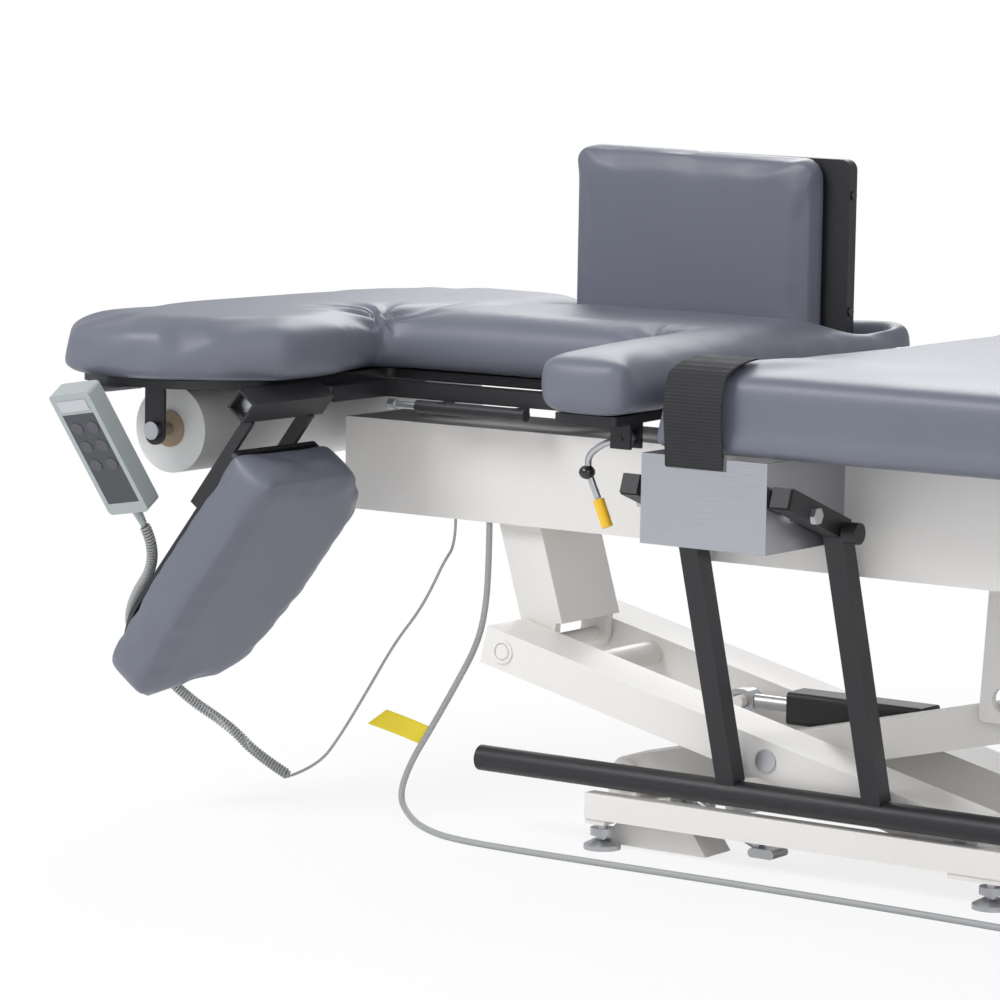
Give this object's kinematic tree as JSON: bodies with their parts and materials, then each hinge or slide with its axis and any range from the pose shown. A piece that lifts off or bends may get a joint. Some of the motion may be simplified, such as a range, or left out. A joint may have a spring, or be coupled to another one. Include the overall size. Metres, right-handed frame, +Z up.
{
  "type": "bariatric examination table",
  "caption": "Wide powered examination couch with padded seat and head sections, drop leaf, upright pad, swing-up side rail, paper roll and handset.",
  "frame": {"origin": "on the floor under the middle of the table's box", "axes": "+Z up, head end towards -X, side rail towards -Y"},
  "size_m": [1.998, 0.78, 0.7376],
  "materials": {
    "frame_paint": "satin",
    "zinc": "satin",
    "pivot_paint": "satin",
    "black_coat": "satin",
    "black_plastic": "matte",
    "bracket_metal": "brushed",
    "vinyl": "satin",
    "webbing": "woven",
    "paper": "matte",
    "card": "matte",
    "handset_grey": "satin",
    "membrane": "satin",
    "button_rubber": "matte",
    "yellow_grip": "gloss",
    "cord_grey": "matte"
  },
  "bodies": {
    "base": {"base_frame": "frame_paint", "levelling_feet": "zinc", "lower_pivot_pin": "zinc", "skirt_housing": "frame_paint", "pedal_clevis": "zinc"},
    "pedal": {"foot_pedal": "zinc"},
    "inner_arm": {"inner_arm": "frame_paint", "centre_pivot_shaft": "zinc"},
    "slider_shaft": {"slider_shaft": "zinc"},
    "outer_arms": {"outer_arms": "frame_paint", "upper_pivot_shaft": "pivot_paint"},
    "lower_rollers": {"lower_roller_shaft": "zinc"},
    "actuator": {"actuator_housing": "black_plastic"},
    "actuator_rod": {"actuator_rod": "zinc"},
    "top_frame": {"seat_beams": "frame_paint", "neck_beam": "frame_paint", "cross_members": "frame_paint", "frame_legs": "frame_paint", "box_bracket": "bracket_metal", "swing_bolts": "zinc", "seat_cushion": "vinyl", "edge_strap": "webbing", "seat_hinge_leaves": "zinc", "handset_cord": "cord_grey", "mains_lead": "cord_grey", "mains_plug": "cord_grey"},
    "side_rail": {"rail_posts": "black_coat", "rail_tube": "black_coat"},
    "lock_plunger": {"lock_plunger": "black_plastic"},
    "back": {"head_cushion": "vinyl", "head_board": "black_coat", "back_frame": "black_coat", "back_hinge_leaves": "zinc", "leaf_shaft": "zinc", "stay_case": "black_coat", "roll_brackets": "black_coat", "roll_shaft": "zinc", "handset_hook": "zinc", "lever_clevis": "black_coat", "handset_curl": "cord_grey"},
    "leaf": {"leaf_cushion": "vinyl", "leaf_frame": "black_coat"},
    "stay_rod": {"stay_rod": "zinc"},
    "pad": {"pad_cushion": "vinyl", "pad_shell": "black_plastic", "pad_rods": "black_coat"},
    "pad_clamp": {"pad_clamp_knob": "black_plastic"},
    "paper": {"paper_core": "card", "paper_roll": "paper"},
    "handset": {"handset_case": "handset_grey", "handset_face": "membrane", "handset_badge_plate": "zinc"},
    "release_lever": {"release_lever": "zinc", "lever_grip": "yellow_grip"},
    "button_1": {"handset_button_1": "button_rubber"},
    "button_2": {"handset_button_2": "button_rubber"},
    "button_3": {"handset_button_3": "button_rubber"},
    "button_4": {"handset_button_4": "button_rubber"},
    "button_5": {"handset_button_5": "button_rubber"},
    "button_6": {"handset_button_6": "button_rubber"}
  },
  "joints": [
    {"name": "lift", "type": "hinge", "parent": "base", "child": "inner_arm", "pos_m": [-0.4131, 0.04, 0.061], "axis": [0, -1, 0], "range_deg": [0, 20.6]},
    {"name": "scissor", "type": "hinge", "parent": "inner_arm", "child": "outer_arms", "pos_m": [-0.181, 0.04, 0.1163], "axis": [0, -1, 0], "range_deg": [-41.2, 0]},
    {"name": "frame_level", "type": "hinge", "parent": "outer_arms", "child": "top_frame", "pos_m": [-0.51953, 0.04, 0.19695], "axis": [0, -1, 0], "range_deg": [0, 20.6]},
    {"name": "slider_spin", "type": "hinge", "parent": "inner_arm", "child": "slider_shaft", "pos_m": [0.15753, 0.04, 0.19695], "axis": [0, 1, 0], "continuous": true},
    {"name": "roller_spin", "type": "hinge", "parent": "outer_arms", "child": "lower_rollers", "pos_m": [0.0511, 0.04, 0.061], "axis": [0, 1, 0], "continuous": true},
    {"name": "actuator_pivot", "type": "hinge", "parent": "inner_arm", "child": "actuator", "pos_m": [-0.05454, 0.04, 0.14643], "axis": [0, -1, 0], "range_deg": [-20.6, 0]},
    {"name": "actuator_stroke", "type": "slide", "parent": "actuator", "child": "actuator_rod", "axis": [1, 0, 0], "range_m": [0, 0.0374]},
    {"name": "pedal_press", "type": "hinge", "parent": "base", "child": "pedal", "pos_m": [-0.289, -0.059, 0.056], "axis": [0, 1, 0], "range_deg": [0, 3.5], "stiffness_Nm_per_rad": 40},
    {"name": "rail_swing", "type": "hinge", "parent": "top_frame", "child": "side_rail", "pos_m": [-0.126, -0.265, 0.404], "axis": [-1, 0, 0], "range_deg": [0, 180]},
    {"name": "plunger_pull", "type": "slide", "parent": "side_rail", "child": "lock_plunger", "axis": [1, 0, 0], "range_m": [0, 0.008], "stiffness_N_per_m": 1500},
    {"name": "back_tilt", "type": "hinge", "parent": "top_frame", "child": "back", "pos_m": [-0.2055, 0.04, 0.526], "axis": [0, 1, 0], "range_deg": [0, 45]},
    {"name": "leaf_swing", "type": "hinge", "parent": "back", "child": "leaf", "pos_m": [-0.7155, -0.235, 0.4667], "axis": [0, -1, 0], "range_deg": [0, 127]},
    {"name": "stay_slide", "type": "slide", "parent": "back", "child": "stay_rod", "axis": [-1, 0, 0], "range_m": [0, 0.03]},
    {"name": "pad_height", "type": "slide", "parent": "back", "child": "pad", "axis": [0, 0, 1], "range_m": [-0.18, 0]},
    {"name": "pad_clamp_turn", "type": "hinge", "parent": "back", "child": "pad_clamp", "pos_m": [-0.693, 0.318, 0.471], "axis": [1, 0, 0], "continuous": true},
    {"name": "paper_spin", "type": "hinge", "parent": "back", "child": "paper", "pos_m": [-0.877, 0.04, 0.425], "axis": [0, 1, 0], "continuous": true},
    {"name": "lever_pull", "type": "hinge", "parent": "back", "child": "release_lever", "pos_m": [-0.259, -0.25, 0.462], "axis": [0, -1, 0], "range_deg": [0, 18], "stiffness_Nm_per_rad": 3},
    {"name": "handset_unhook", "type": "slide", "parent": "back", "child": "handset", "axis": [-0.1384, -0.5019, 0.8538], "range_m": [0, 0.03]},
    {"name": "button_1_press", "type": "slide", "parent": "handset", "child": "button_1", "axis": [-0.0803, 0.8649, 0.4954], "range_m": [0, 0.0011], "stiffness_N_per_m": 900},
    {"name": "button_2_press", "type": "slide", "parent": "handset", "child": "button_2", "axis": [-0.0803, 0.8649, 0.4954], "range_m": [0, 0.0011], "stiffness_N_per_m": 900},
    {"name": "button_3_press", "type": "slide", "parent": "handset", "child": "button_3", "axis": [-0.0803, 0.8649, 0.4954], "range_m": [0, 0.0011], "stiffness_N_per_m": 900},
    {"name": "button_4_press", "type": "slide", "parent": "handset", "child": "button_4", "axis": [-0.0803, 0.8649, 0.4954], "range_m": [0, 0.0011], "stiffness_N_per_m": 900},
    {"name": "button_5_press", "type": "slide", "parent": "handset", "child": "button_5", "axis": [-0.0803, 0.8649, 0.4954], "range_m": [0, 0.0011], "stiffness_N_per_m": 900},
    {"name": "button_6_press", "type": "slide", "parent": "handset", "child": "button_6", "axis": [-0.0803, 0.8649, 0.4954], "range_m": [0, 0.0011], "stiffness_N_per_m": 900}
  ],
  "couplings": [
    {"joint": "scissor", "follows": "lift", "ratio": -2},
    {"joint": "frame_level", "follows": "lift", "ratio": 1},
    {"joint": "actuator_pivot", "follows": "lift", "ratio": -1},
    {"joint": "actuator_stroke", "follows": "lift", "m_per_rad": 0.10394}
  ]
}
